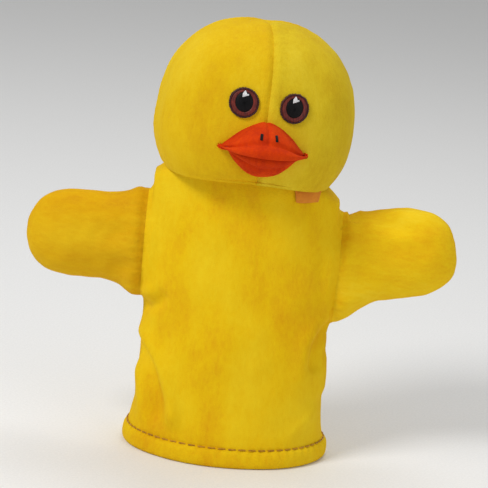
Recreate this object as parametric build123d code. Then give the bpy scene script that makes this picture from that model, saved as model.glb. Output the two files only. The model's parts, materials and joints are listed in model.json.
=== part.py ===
from build123d import *
import os
from math import cos, radians, sin, sqrt

# A plush duck glove puppet.  It stands on its hem with the face towards -Y, +Z up.
# The origin is the bottom centre of the hem.  The puppet's left side is +X.
# Lengths are millimetres and angles are degrees.

# ---- cloth and clearances ----
cloth = 2.0  # plush cloth with its pile pressed flat
tape = 0.8  # cotton tape round a seam
slide_gap = 0.3  # between pieces that move against each other
sewn_gap = 0.1  # between pieces that are sewn together
patch = 0.8  # height of the satin-stitched eyes
overrun = 8.0  # forms run on this far past the cuts that end them

# ---- sleeve body ----
body_height = 162.0  # hem to the edge of the head
hem_width = 116.0
hem_depth = 80.0
hem_band_height = 11.0
hem_roll = 4.0  # thickness of the turned-up cloth
waist_width = 107.0
waist_depth = 72.0
waist_z = 56.0
hem_flare = 2.0  # the sleeve widens by this down to its foot
chest_width = 112.0
chest_depth = 60.0
shoulder_slack = 4.0  # flatter by this at the shoulders
neck_x = -4.6  # the head sits a little to the puppet's right
neck_hole_radius = 21.0
neck_tape_width = 6.0
shoulder_radius = 75.6  # the shoulders are a ball about the neck pivot
pivot_drop = 62.0  # the neck pivot lies this far below the edge of the head
stitch_length = 3.4
stitch_thickness = 0.8
stitch_pitch = 5.4
stitch_drop = 1.6  # below the top of the hem

# ---- arms ----
armhole_drop = 43.0  # from the edge of the head down to the middle of the armhole
arm_reach = 69.0  # armhole to the tip of the mitten
arm_height = 52.0
arm_depth = 31.0
arm_tip_length = 23.0
arm_root = 14.0  # how far the arm's form starts inside the sleeve
bend_out = 7.0  # the arm bends this far outside its armhole
bend_cover = 4.2  # the ball that the arm cloth moves outside is this much larger than the arm
left_arm_raise = 11.0
right_arm_raise = 0.0

# ---- head ----
head_width = 111.0
head_depth = 96.0
head_full_height = 109.0  # before the hollow underside is taken off
head_lift = 96.0  # neck pivot to the middle of the head
head_squareness = 2.3
head_yaw = 8.0
head_roll = 3.0
panel_seam_y = 3.0  # where the front panels meet the back panel
pocket_radius = 19.0
pocket_top = 26.0  # above the middle of the head
pocket_lining = 1.0
mouth_passage_width = 34.0
mouth_passage_height = 22.0

# ---- beak ----
mouth_drop = 10.5  # mouth line below the middle of the head
beak_middle_y = -44.0
hinge_y = -40.0
upper_beak_width = 47.0
upper_beak_length = 24.0
upper_beak_height = 16.5
lower_beak_width = 42.0
lower_beak_length = 20.0
lower_beak_height = 13.5
beak_cloth = 1.8
beak_padding = 2.0
mouth_board = 1.4
mouth_lining = 1.2
jaw_opening = 25.0
nostril_length = 5.0
nostril_thickness = 1.4
nostril_spread = 9.0
nostril_forward = 10.1  # ahead of the middle of the beak
nostril_slant = 72.0

# ---- eyes ----
eye_width = 16.2
eye_height = 16.2
eye_spread = 27.8
eye_lift = 14.5  # above the middle of the head
eye_outline = 1.1
pupil_width = 10.4
pupil_height = 11.6
pupil_lift = 0.8
glint_size = 3.4

# ---- neck tab ----
tab_width = 15.0
tab_height = 6.0
tab_thickness = 1.6
tab_x = 34.0
tab_drop = 8.0  # below the edge of the head

# ---- places worked out from the sizes above ----
neck_z = body_height - pivot_drop
head_z = neck_z + head_lift
mouth_z = head_z - mouth_drop
armhole_z = body_height - armhole_drop
armhole_x = chest_width / 2 - 1.0
bend_x = armhole_x + bend_out
bend_radius = arm_height / 2 + bend_cover
binding_radius = shoulder_radius + slide_gap
neck_tape_radius = binding_radius + tape + slide_gap
head_seat_radius = neck_tape_radius + tape + slide_gap
jaw_back = hinge_y + lower_beak_height * sin(radians(jaw_opening)) + slide_gap
ring_radius = bend_radius + slide_gap
arm_start_radius = ring_radius + cloth + slide_gap
far = 400.0  # larger than the whole puppet

NECK = Vector(neck_x, 0, neck_z)
HEAD_PIVOT = Vector(0, 0, neck_z)  # the same place in the head's own upright frame
BASE = (Align.CENTER, Align.CENTER, Align.MIN)


def block(x, y, z):
    """A box between two corners, each given as a pair on its axis."""
    size = Box(x[1] - x[0], y[1] - y[0], z[1] - z[0])
    return Pos((x[0] + x[1]) / 2, (y[0] + y[1]) / 2, (z[0] + z[1]) / 2) * size


def ellipsoid(x, y, z):
    """An ellipsoid with these half axes, about the origin."""
    return Part() + scale(Sphere(1), by=(x, y, z))


def above(z):
    return block((-far, far), (-far, far), (z, far))


def below(z):
    return block((-far, far), (-far, far), (-far, z))


def ahead_of(y):
    return block((-far, far), (-far, y), (-far, far))


def behind(y):
    return block((-far, far), (y, far), (-far, far))


def on_side(side):
    """The half space on one side of the puppet's middle."""
    x = (0, far) if side > 0 else (-far, 0)
    return block(x, (-far, far), (-far, far))


def ball(centre, radius):
    return Pos(*centre) * Sphere(radius)


def one(shape):
    """The only solid of a result."""
    solids = shape.solids()
    if len(solids) != 1:
        raise ValueError(f"{len(solids)} solids where one was meant")
    return solids[0]


def save(shape, name):
    export_step(shape, f"parts/{name}.step")


# ---------------------------------------------------------------- sleeve body
def sleeve_form(grow):
    """The sleeve with every half width made larger by grow, open ended below the hem."""
    top = neck_z + shoulder_radius + overrun
    levels = [
        (-overrun, hem_width + hem_flare / 2, hem_depth + hem_flare / 2),
        (hem_band_height, hem_width - hem_flare, hem_depth - hem_flare),
        (waist_z, waist_width, waist_depth),
        ((waist_z + armhole_z) / 2, (waist_width + chest_width) / 2, (waist_depth + chest_depth) / 2),
        (armhole_z, chest_width, chest_depth),
        (top, chest_width, chest_depth - shoulder_slack),
    ]
    rings = [Plane.XY.offset(z) * Ellipse(w / 2 + grow, d / 2 + grow) for z, w, d in levels]
    cap = ball(NECK, shoulder_radius + grow)
    cap += block((-far, far), (-far, far), (-far, neck_z))
    return loft(rings) & cap


def arm_place(side):
    """The middle of the arm's bend, with X along the arm."""
    if side > 0:
        return Pos(bend_x, 0, armhole_z) * Rot(0, -left_arm_raise, 0)
    return Pos(-bend_x, 0, armhole_z) * Rot(0, right_arm_raise, 0) * Rot(0, 0, 180)


def arm_form(side, grow):
    """A flat mitten from inside the sleeve out to its rounded tip."""
    half_height = arm_height / 2 + grow
    half_depth = arm_depth / 2 + grow
    straight = arm_reach - bend_out - arm_tip_length
    root = -arm_root - bend_out
    steps = 6
    rings = []
    for i in range(steps):
        along = root + (straight - root) * i / steps
        rings.append(Plane.YZ.offset(along) * Ellipse(half_depth, half_height))
    for turn in (0, 20, 37, 52, 65, 76, 84):
        along = straight + (arm_tip_length + grow) * sin(radians(turn)) / sin(radians(84))
        across = cos(radians(turn))
        rings.append(Plane.YZ.offset(along) * Ellipse(half_depth * across, half_height * across))
    return arm_place(side) * loft(rings)


def bend(side):
    return Vector(side * bend_x, 0, armhole_z)


def outside_body(side):
    """The space out past the armhole on one side."""
    x = (armhole_x, far) if side > 0 else (-far, -armhole_x)
    return block(x, (-far, far), (-far, far))


def sleeve_shell():
    """The sleeve and the roots of both arms in one thickness of cloth, above the hem."""
    outer = sleeve_form(0) + arm_form(1, 0) + arm_form(-1, 0)
    inner = sleeve_form(-cloth) + arm_form(1, -cloth) + arm_form(-1, -cloth)
    shell = outer - inner
    for side in (1, -1):
        beyond = arm_form(side, cloth) & outside_body(side)
        shell -= beyond - ball(bend(side), bend_radius)
    shell -= Pos(*NECK) * Cylinder(neck_hole_radius, far, align=BASE)
    return shell & above(hem_band_height)


def hem_ring():
    """The turned-up cloth between the floor and its line of stitches."""
    outer = sleeve_form(hem_roll - cloth) & above(0) & below(hem_band_height - sewn_gap)
    inner = sleeve_form(-cloth)
    return one(outer - inner)


def hem_stitches():
    """Short straight stitches round the top of the hem, on the outer face of the cloth."""
    ring = sleeve_form(hem_roll - cloth + stitch_thickness / 2 + sewn_gap)
    level = hem_band_height - stitch_drop
    face = (ring & above(level)).faces().sort_by(Axis.Z)[0]
    path = face.outer_wire()
    count = int(path.length / stitch_pitch)
    stitches = []
    for i in range(count):
        here = path.position_at(i / count)
        along = path.tangent_at(i / count)
        place = Plane(origin=here, z_dir=along)
        stitches.append(one(place * Cylinder(stitch_thickness / 2, stitch_length)))
    return Compound(children=stitches)


def neck_tab():
    """A small folded tab of cloth sewn in under the head, at the left of the chest."""
    top = body_height - tab_drop + tab_height
    reach = block((tab_x - tab_width / 2, tab_x + tab_width / 2), (-far, 0), (top - tab_height, top))
    return one((sleeve_form(tab_thickness) - sleeve_form(sewn_gap)) & reach)


def neck_band(radius):
    """A ring of tape on a ball about the neck pivot, round the neck hole."""
    shell = ball(NECK, radius + tape) - ball(NECK, radius)
    hole = Pos(*NECK) * Cylinder(neck_hole_radius, far, align=BASE)
    edge = Pos(*NECK) * Cylinder(neck_hole_radius + neck_tape_width, far, align=BASE)
    return one((shell & edge) - hole)


def arm_shell(side, start_radius, end_radius):
    """The arm's cloth outside one ball about its bend and, if given, inside another."""
    shell = (arm_form(side, 0) - arm_form(side, -cloth)) & outside_body(side)
    shell -= ball(bend(side), start_radius)
    if end_radius:
        shell &= ball(bend(side), end_radius)
    return shell


# ---------------------------------------------------------------------- head
def head_form(grow):
    """The stuffed head, squarer than an ellipsoid, before its underside is hollowed."""
    half_width = head_width / 2 + grow
    half_height = head_full_height / 2 + grow
    half_depth = head_depth / 2 + grow
    power = 2 / head_squareness
    rings = []
    for turn in (-58, -44, -28, -12, 6, 24, 40, 54, 66, 76, 83):
        rise = abs(sin(radians(turn))) ** power * (1 if turn > 0 else -1)
        across = cos(radians(turn)) ** power
        level = Plane.XY.offset(head_z + half_height * rise)
        rings.append(level * Ellipse(half_width * across, half_depth * across))
    return loft(rings)


def beak_form(width, length, height, grow):
    return Pos(0, beak_middle_y, mouth_z) * ellipsoid(width / 2 + grow, length + grow, height + grow)


def upper_form(grow):
    return beak_form(upper_beak_width, upper_beak_length, upper_beak_height, grow)


def lower_form(grow):
    return beak_form(lower_beak_width, lower_beak_length, lower_beak_height, grow)


def mouth_opening(upper_grow, lower_grow, back):
    """The hole in the face that both halves of the beak stand in, as far back as y = back."""
    tilt = radians(jaw_opening)
    swing = sqrt((lower_beak_height * cos(tilt)) ** 2 + (lower_beak_length * sin(tilt)) ** 2)
    swing += (hinge_y - beak_middle_y) * sin(tilt)
    upper = Ellipse(upper_beak_width / 2 + upper_grow, upper_beak_height + upper_grow)
    lower = Ellipse(lower_beak_width / 2 + lower_grow, swing + lower_grow)
    place = Plane(origin=(0, back, mouth_z), x_dir=(1, 0, 0), z_dir=(0, -1, 0))
    return extrude(place * upper, far) & above(mouth_z), extrude(place * lower, far) & below(mouth_z)


def pocket_form(grow, reach):
    """The finger pocket: a round-topped well with a passage forward to the beak."""
    radius = pocket_radius + grow
    top = head_z + pocket_top - pocket_radius
    well = Pos(*HEAD_PIVOT) * Cylinder(radius, top - neck_z, align=BASE)
    well += ball((0, 0, top), radius)
    half_width = mouth_passage_width / 2 + grow
    half_height = mouth_passage_height / 2 + grow
    front = jaw_back + pocket_lining
    height = (mouth_z - half_height, mouth_z + half_height)
    return well + block((-half_width, half_width), (front - reach, 0), height)


def head_shell():
    """The head's cloth with its hollow underside, neck hole and mouth opening."""
    outer = head_form(0) - ball(HEAD_PIVOT, head_seat_radius)
    inner = head_form(-cloth) - ball(HEAD_PIVOT, head_seat_radius + cloth)
    shell = outer - inner
    shell -= Pos(*HEAD_PIVOT) * Cylinder(neck_hole_radius, head_z - neck_z, align=BASE)
    for opening in mouth_opening(sewn_gap, 2 * slide_gap, jaw_back):
        shell -= opening
    return shell


def head_stuffing():
    """Fibre filling, with room for the fingers, the beak and the moving jaw."""
    form = head_form(-cloth - sewn_gap) - ball(HEAD_PIVOT, head_seat_radius + cloth + sewn_gap)
    for opening in mouth_opening(2 * sewn_gap, 3 * slide_gap, jaw_back):
        form -= opening
    return one(form - pocket_form(sewn_gap, overrun))


def finger_pocket():
    """The lining that a finger slides into."""
    lining = pocket_form(0, 0) - pocket_form(-pocket_lining, overrun)
    return one(lining - ball(HEAD_PIVOT, head_seat_radius + cloth + sewn_gap))


def upper_beak_shell():
    floor = mouth_z + sewn_gap + mouth_lining
    return (upper_form(0) - upper_form(-beak_cloth)) & above(floor) & ahead_of(hinge_y)


def upper_beak_padding():
    floor = mouth_z + sewn_gap + mouth_lining + mouth_board + sewn_gap
    outer = upper_form(-beak_cloth - sewn_gap)
    inner = upper_form(-beak_cloth - beak_padding)
    return one((outer - inner) & above(floor) & ahead_of(hinge_y))


def upper_plate(bottom, thickness, grow):
    """A flat layer of the roof of the mouth."""
    return one(upper_form(grow) & above(bottom) & below(bottom + thickness) & ahead_of(hinge_y))


def lower_plate(top, thickness, grow):
    """A flat layer of the floor of the mouth."""
    return one(lower_form(grow) & below(top) & above(top - thickness) & ahead_of(hinge_y - slide_gap))


def lower_beak_shell():
    top = mouth_z - 2 * sewn_gap - mouth_lining
    shell = (lower_form(0) - lower_form(-beak_cloth)) & below(top)
    return one(shell & ahead_of(hinge_y - slide_gap))


def lower_beak_padding():
    top = mouth_z - 2 * sewn_gap - mouth_lining - mouth_board - sewn_gap
    outer = lower_form(-beak_cloth - sewn_gap)
    inner = lower_form(-beak_cloth - beak_padding)
    return one((outer - inner) & below(top) & ahead_of(hinge_y - slide_gap))


def nostril_stitches():
    """Two short stitches on top of the beak, one each side of its seam."""
    stitches = []
    for side in (1, -1):
        x = side * nostril_spread / 2
        drop = 1 - (x / (upper_beak_width / 2)) ** 2
        y = beak_middle_y - nostril_forward
        share = drop - ((y - beak_middle_y) / upper_beak_length) ** 2
        z = mouth_z + upper_beak_height * sqrt(share)
        stitch = Pos(x, y, z + nostril_thickness / 2) * Rot(0, side * nostril_slant, 0)
        body = stitch * Cylinder(nostril_thickness / 2, nostril_length)
        stitches.append(one(body - upper_form(sewn_gap)))
    return Compound(children=stitches)


def eye_pieces(side):
    """The four thread colours of one embroidered eye, on the curve of the head."""
    x = side * eye_spread / 2
    z = head_z + eye_lift
    skin = (head_form(patch) - head_form(sewn_gap)) & ahead_of(-overrun)

    def column(sketch, dx, dz):
        flat = Plane.XZ * (Pos(x + dx, z + dz) * sketch)
        return extrude(flat, amount=far, both=True)

    rim = column(Ellipse(eye_width / 2, eye_height / 2), 0, 0)
    iris = column(Ellipse(eye_width / 2 - eye_outline, eye_height / 2 - eye_outline), 0, 0)
    pupil = column(Ellipse(pupil_width / 2, pupil_height / 2), 0, pupil_lift)
    triangle = Triangle(a=glint_size, b=glint_size, c=glint_size)
    glint = column(triangle, 0, pupil_lift + pupil_height / 2 - glint_size)
    return {
        "outline": one((skin & rim) - iris),
        "iris": one((skin & iris) - pupil),
        "pupil": one((skin & pupil) - glint),
        "glint": one(skin & glint),
    }


def pose_head(shape):
    """The head is sewn on turned a little to its left and leaning."""
    return Pos(*NECK) * Rot(0, 0, head_yaw) * Rot(0, head_roll, 0) * Pos(*(-HEAD_PIVOT)) * shape


# -------------------------------------------------------------------- export
def make_body():
    shell = sleeve_shell()
    save(one(shell & ahead_of(0)), "body_front")
    save(one(shell & behind(0)), "body_back")
    save(hem_ring(), "hem_band")
    save(hem_stitches(), "hem_stitches")
    save(neck_tab(), "neck_tab")
    save(neck_band(binding_radius), "neck_binding")
    save(neck_band(neck_tape_radius), "head_neck_tape")


def make_arm(side, name):
    save(one(arm_shell(side, ring_radius, ring_radius + cloth)), f"{name}_armhole_binding")
    shell = arm_shell(side, arm_start_radius, None)
    save(one(shell & ahead_of(0)), f"{name}_arm_front")
    save(one(shell & behind(0)), f"{name}_arm_back")


def make_head():
    shell = head_shell()
    front = shell & ahead_of(panel_seam_y)
    pieces = {
        "head_front_left": one(front & on_side(1)),
        "head_front_right": one(front & on_side(-1)),
        "head_back": one(shell & behind(panel_seam_y)),
        "head_stuffing": head_stuffing(),
        "finger_pocket": finger_pocket(),
        "nostril_stitches": nostril_stitches(),
    }
    for side, name in ((1, "left"), (-1, "right")):
        for part, shape in eye_pieces(side).items():
            pieces[f"{name}_eye_{part}"] = shape
    for name, shape in pieces.items():
        save(pose_head(shape), name)


def make_beak():
    shell = upper_beak_shell()
    roof = mouth_z + sewn_gap
    floor = mouth_z - 2 * sewn_gap
    inside = -beak_cloth - sewn_gap
    pieces = {
        "upper_beak_left": one(shell & on_side(1)),
        "upper_beak_right": one(shell & on_side(-1)),
        "upper_beak_padding": upper_beak_padding(),
        "upper_mouth_lining": upper_plate(roof, mouth_lining, 0),
        "upper_mouth_board": upper_plate(roof + mouth_lining, mouth_board, inside),
        "lower_beak": lower_beak_shell(),
        "lower_beak_padding": lower_beak_padding(),
        "lower_mouth_lining": lower_plate(floor, mouth_lining, 0),
        "lower_mouth_board": lower_plate(floor - mouth_lining, mouth_board, inside),
    }
    for name, shape in pieces.items():
        save(pose_head(shape), name)


os.makedirs("parts", exist_ok=True)
make_body()
make_arm(1, "left")
make_arm(-1, "right")
make_head()
make_beak()
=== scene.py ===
import json
import math

import bmesh
import bpy
import numpy as np
from mathutils import Matrix, Vector, noise
from mathutils.kdtree import KDTree


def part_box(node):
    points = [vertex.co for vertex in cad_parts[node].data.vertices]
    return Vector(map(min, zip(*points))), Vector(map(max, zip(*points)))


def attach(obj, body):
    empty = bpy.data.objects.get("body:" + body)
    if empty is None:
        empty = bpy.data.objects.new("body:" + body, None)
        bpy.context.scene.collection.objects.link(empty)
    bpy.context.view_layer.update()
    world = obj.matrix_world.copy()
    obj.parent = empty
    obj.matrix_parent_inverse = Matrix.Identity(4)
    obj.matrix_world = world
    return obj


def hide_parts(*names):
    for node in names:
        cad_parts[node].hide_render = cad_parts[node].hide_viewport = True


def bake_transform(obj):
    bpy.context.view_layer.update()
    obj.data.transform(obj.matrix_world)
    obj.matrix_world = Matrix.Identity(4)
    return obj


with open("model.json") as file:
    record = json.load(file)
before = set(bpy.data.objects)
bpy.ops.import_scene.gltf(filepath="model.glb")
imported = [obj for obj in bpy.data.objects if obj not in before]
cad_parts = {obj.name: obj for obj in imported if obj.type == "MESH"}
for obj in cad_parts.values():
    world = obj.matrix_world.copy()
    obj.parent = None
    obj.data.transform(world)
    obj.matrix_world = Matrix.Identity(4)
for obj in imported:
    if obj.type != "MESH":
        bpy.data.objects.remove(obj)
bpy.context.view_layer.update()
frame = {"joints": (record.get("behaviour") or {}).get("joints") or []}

# A plush duck glove puppet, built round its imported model.  Metres, +Z up, the face towards -Y.
# "Left" is the puppet's own left, at +X.

MM = 0.001
JOINTS = {joint["name"]: joint for joint in frame["joints"]}

# ---- places read from the frame ----
NECK = np.array(JOINTS["head_turn"]["pos_m"])
HEM_TOP = float(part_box("hem_band")[1][2])
BODY_TOP = float(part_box("body_front")[1][2])
BAND_LOW, BAND_HIGH = (np.array(corner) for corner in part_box("neck_binding"))
HINGE = np.array(JOINTS["jaw_open"]["pos_m"])
HEAD_X = np.array(JOINTS["jaw_open"]["axis"])
HEAD_Y = np.array(JOINTS["head_tilt"]["axis"])
HEAD_Z = np.cross(HEAD_X, HEAD_Y)
HEAD_AXES = np.stack([HEAD_X, HEAD_Y, HEAD_Z], axis=1)
BEND = {side: np.array(JOINTS[f"{side}_arm_raise"]["pos_m"]) for side in ("left", "right")}
SIGN = {"left": 1.0, "right": -1.0}

# ---- sizes of the looks ----
SHOULDER_R = 77.2 * MM  # plush shoulders, a ball about the neck pivot
SEAT_R = 77.8 * MM  # underside of the head, just above the shoulders
NECK_HOLE = (BAND_HIGH[0] - BAND_LOW[0]) / 2 - 6 * MM
CLOTH = 1.7 * MM
ARM_SEAM_X = 55.5 * MM
RING_X = 68.0 * MM
ARMPIT_Z = 76.0 * MM  # below this the flanks belong to the body
PANEL_SEAM_Y = 3.0 * MM
BODY_LEVELS = [  # height, half width, half depth
    (0.0, 57.5, 40.0),
    (11.0, 56.8, 39.0),
    (30.0, 54.6, 37.6),
    (56.0, 53.5, 36.0),
    (88.0, 54.6, 33.0),
    (119.0, 55.6, 30.0),
    (160.0, 55.6, 28.4),
]
HEAD_HALF = np.array([55.0, 47.6, 54.5]) * MM
HEAD_MID = 96.0 * MM  # above the neck pivot
HEAD_POWER = 2.35
EYE_X = 13.9 * MM
EYE_Z = HEAD_MID + 14.5 * MM
MOUTH_Z = float((HINGE - NECK) @ HEAD_Z)
HINGE_Y = float((HINGE - NECK) @ HEAD_Y)
BEAK_Y = HINGE_Y - 4 * MM
BEAK_HALF = 23.8 * MM
BEAK_LONG = 24.0 * MM
BEAK_HIGH = 16.2 * MM
JAW_HALF = 20.6 * MM
JAW_LONG = 20.0 * MM
JAW_DEEP = 14.6 * MM
BEAK_CLOTH = 1.4 * MM
PLATE_SHARES = (1.0, 0.985, 0.8, 0.5, 0.2)  # rings of a mouth plate, out of its full size
PLATE_SAG = 0.5 * MM
PLATE_THICKNESS = 1.0 * MM
MOUTH_PLATES = [  # piece, body, CAD node, layer, inset of half width and length, height over the mouth
    ("upper_mouth_lining_cloth", "head", "upper_mouth_lining", "cloth", (1.2, 1.4), 1.2),
    ("upper_mouth_board_sheet", "head", "upper_mouth_board", "board", (5.5, 4.0), 2.8),
    ("lower_mouth_lining_cloth", "jaw", "lower_mouth_lining", "cloth", (0.8, 1.0), -0.4),
    ("lower_mouth_board_sheet", "jaw", "lower_mouth_board", "board", (5.0, 4.0), -2.0),
]
ARM_WEB = {"left": 0.44, "right": 0.42}  # how much deeper the arms are at their roots, below
TOP_WEB = {"left": 0.08, "right": 0.2}  # and above
RAISE = {"left": math.radians(11.0), "right": 0.0}

rng = np.random.default_rng(7)


# ------------------------------------------------------------------ mesh tools
def new_object(name, verts, faces):
    mesh = bpy.data.meshes.new(name)
    mesh.from_pydata([tuple(v) for v in verts], [], [tuple(f) for f in faces])
    mesh.validate()
    obj = bpy.data.objects.new(name, mesh)
    bpy.context.scene.collection.objects.link(obj)
    mesh.polygons.foreach_set("use_smooth", [True] * len(mesh.polygons))
    return obj


def coords(obj):
    co = np.zeros(len(obj.data.vertices) * 3)
    obj.data.vertices.foreach_get("co", co)
    return co.reshape(-1, 3)


def set_coords(obj, co):
    obj.data.vertices.foreach_set("co", np.asarray(co, dtype=np.float32).ravel())
    obj.data.update()


def normals(obj):
    no = np.zeros(len(obj.data.vertices) * 3)
    obj.data.vertex_normals.foreach_get("vector", no)
    return no.reshape(-1, 3)


def apply_modifiers(obj):
    """Replaces the object's mesh by the result of its modifiers."""
    depsgraph = bpy.context.evaluated_depsgraph_get()
    mesh = bpy.data.meshes.new_from_object(obj.evaluated_get(depsgraph))
    obj.modifiers.clear()
    obj.data = mesh
    mesh.polygons.foreach_set("use_smooth", [True] * len(mesh.polygons))
    return obj


def join(objects, name):
    """One object from several, whose own meshes are dropped."""
    verts, faces = [], []
    for obj in objects:
        base = len(verts)
        verts += [tuple(v) for v in coords(obj)]
        faces += [tuple(i + base for i in p.vertices) for p in obj.data.polygons]
        bpy.data.objects.remove(obj)
    return new_object(name, verts, faces)


def rings_to_faces(rows, columns, closed_columns=True):
    faces = []
    for r in range(rows - 1):
        for c in range(columns if closed_columns else columns - 1):
            n = (c + 1) % columns
            faces.append((r * columns + c, r * columns + n, (r + 1) * columns + n, (r + 1) * columns + c))
    return faces


def closed_rings(name, rings):
    """A closed skin over rings of points, with a fan at each end."""
    rings = np.asarray(rings)
    rows, columns, _ = rings.shape
    verts = list(rings.reshape(-1, 3))
    faces = rings_to_faces(rows, columns)
    for row, flip in ((0, True), (rows - 1, False)):
        centre = len(verts)
        verts.append(rings[row].mean(axis=0))
        for c in range(columns):
            a, b = row * columns + c, row * columns + (c + 1) % columns
            faces.append((b, a, centre) if flip else (a, b, centre))
    return new_object(name, verts, faces)


def voxel_skin(obj, voxel, smoothing):
    remesh = obj.modifiers.new("remesh", "REMESH")
    remesh.mode = "VOXEL"
    remesh.voxel_size = voxel
    remesh.adaptivity = 0.0
    apply_modifiers(obj)
    relax = obj.modifiers.new("relax", "SMOOTH")
    relax.factor = 0.5
    relax.iterations = smoothing
    return apply_modifiers(obj)


def sliced(obj, name, planes, creases=()):
    """A copy of obj that keeps the inner side of each (point, outward normal) plane.

    Creases are planes that only split the faces they cross.
    """
    bm = bmesh.new()
    bm.from_mesh(obj.data)
    for cuts, clears in ((planes, True), (creases, False)):
        for point, normal in cuts:
            geom = bm.verts[:] + bm.edges[:] + bm.faces[:]
            bmesh.ops.bisect_plane(
                bm, geom=geom, dist=1e-6, plane_co=point, plane_no=normal, clear_outer=clears
            )
    mesh = bpy.data.meshes.new(name)
    bm.to_mesh(mesh)
    bm.free()
    piece = bpy.data.objects.new(name, mesh)
    bpy.context.scene.collection.objects.link(piece)
    mesh.polygons.foreach_set("use_smooth", [True] * len(mesh.polygons))
    return piece


def drop_faces(obj, doomed):
    """Deletes the faces whose centre doomed(x, y, z) picks out."""
    bm = bmesh.new()
    bm.from_mesh(obj.data)
    gone = [f for f in bm.faces if doomed(*f.calc_center_median())]
    bmesh.ops.delete(bm, geom=gone, context="FACES")
    bm.to_mesh(obj.data)
    bm.free()
    return obj


def thicken(obj, thickness, source=None):
    """Gives an open skin its thickness inwards.  Its outer face takes its shading from source."""
    solid = obj.modifiers.new("cloth", "SOLIDIFY")
    solid.thickness = thickness
    solid.offset = -1.0
    solid.use_even_offset = False
    apply_modifiers(obj)
    obj.data.set_sharp_from_angle(angle=math.radians(58))
    if source is not None:
        borrow_normals(obj, source)
    return obj


def borrow_normals(obj, source):
    """Shades obj as the uncut skin it came from, so that a cut inside a panel doesn't show."""
    tree = KDTree(len(source["co"]))
    for i, point in enumerate(source["co"]):
        tree.insert(point, i)
    tree.balance()
    mesh = obj.data
    corner_normals = np.zeros(len(mesh.loops) * 3)
    mesh.corner_normals.foreach_get("vector", corner_normals)
    corner_normals = corner_normals.reshape(-1, 3)
    face_normal = np.zeros(len(mesh.polygons) * 3)
    mesh.polygons.foreach_get("normal", face_normal)
    face_normal = face_normal.reshape(-1, 3)
    co = coords(obj)
    found = {}
    for polygon in mesh.polygons:
        for loop in polygon.loop_indices:
            vertex = mesh.loops[loop].vertex_index
            if vertex not in found:
                near = tree.find_n(co[vertex], 3)
                weight = np.array([1.0 / (hit[2] + 1e-6) for hit in near])
                mixed = (source["no"][[hit[1] for hit in near]] * weight[:, None]).sum(axis=0)
                found[vertex] = (mixed / np.linalg.norm(mixed), near[0][2])
            normal, distance = found[vertex]
            if distance < 1.2 * MM and normal @ face_normal[polygon.index] > 0.6:
                corner_normals[loop] = normal
    mesh.normals_split_custom_set([tuple(n) for n in corner_normals])


def smoothstep(low, high, x):
    t = np.clip((x - low) / (high - low), 0, 1)
    return t * t * (3 - 2 * t)


def hill(x, width):
    return np.exp(-((x / width) ** 2))


def near_line(x, z, points):
    """Distance from each (x, z) to a line of points, and how far along the line the nearest place is."""
    best = np.full(x.shape, 1e9)
    along = np.zeros(x.shape)
    points = np.array(points) * MM
    lengths = np.linalg.norm(np.diff(points, axis=0), axis=1)
    total, passed = lengths.sum(), 0.0
    for a, b, length in zip(points[:-1], points[1:], lengths):
        step = (b - a) / length
        t = np.clip((x - a[0]) * step[0] + (z - a[1]) * step[1], 0, length)
        distance = np.hypot(x - a[0] - t * step[0], z - a[1] - t * step[1])
        closer = distance < best
        best[closer] = distance[closer]
        along[closer] = (passed + t[closer]) / total
        passed += length
    return best, along


def fold(co, points, width, height, front=True, fade=0.25):
    """A ridge (or with a negative height, a valley) along a line seen from the front."""
    distance, along = near_line(co[:, 0], co[:, 2], points)
    ends = smoothstep(0, fade, along) * smoothstep(0, fade, 1 - along)
    side = smoothstep(-2 * MM, 6 * MM, -co[:, 1] if front else co[:, 1])
    return height * MM * hill(distance, width * MM) * ends * side


def lumps(co, size, seed=0.0):
    """Smooth noise from -1 to 1 with lumps of about this size."""
    shift = Vector((seed * 3.1, seed * 1.7, seed * 2.3))
    return np.array([noise.noise(Vector(p) / size + shift) for p in co])


def relax(obj, co, amount, times, where):
    """Evens out part of a mesh: where is a weight for each vertex."""
    edges = np.zeros(len(obj.data.edges) * 2, dtype=np.int64)
    obj.data.edges.foreach_get("vertices", edges)
    edges = edges.reshape(-1, 2)
    count = np.bincount(edges.ravel(), minlength=len(co))[:, None]
    for _ in range(times):
        total = np.zeros_like(co)
        np.add.at(total, edges[:, 0], co[edges[:, 1]])
        np.add.at(total, edges[:, 1], co[edges[:, 0]])
        co = co + (total / np.maximum(count, 1) - co) * (amount * where)[:, None]
    return co


# ------------------------------------------------------------ sleeve and arms
def level_size(z):
    heights, widths, depths = np.array(BODY_LEVELS).T * MM
    return np.interp(z, heights, widths), np.interp(z, heights, depths)


def sleeve_form():
    """The closed form of the sleeve, from below the hem up over the shoulders."""
    columns, wall, cap = 128, 70, 18
    turn = np.linspace(0, 2 * math.pi, columns, endpoint=False)
    half_width, half_depth = level_size(BODY_TOP)
    reach = np.hypot(half_width * np.cos(turn) - NECK[0], half_depth * np.sin(turn))
    edge = NECK[2] + np.sqrt(SHOULDER_R**2 - reach**2)
    rings = []
    for share in np.linspace(0, 1, wall):
        z = -6 * MM + (edge + 6 * MM) * share
        width, depth = level_size(z)
        rings.append(np.stack([width * np.cos(turn), depth * np.sin(turn), z], axis=1))
    for share in np.cos(np.linspace(0, math.radians(86), cap))[1:]:
        x, y = half_width * np.cos(turn) * share, half_depth * np.sin(turn) * share
        z = NECK[2] + np.sqrt(SHOULDER_R**2 - (x - NECK[0])**2 - y**2)
        rings.append(np.stack([x, y, z], axis=1))
    return closed_rings("sleeve_form", rings)


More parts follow.
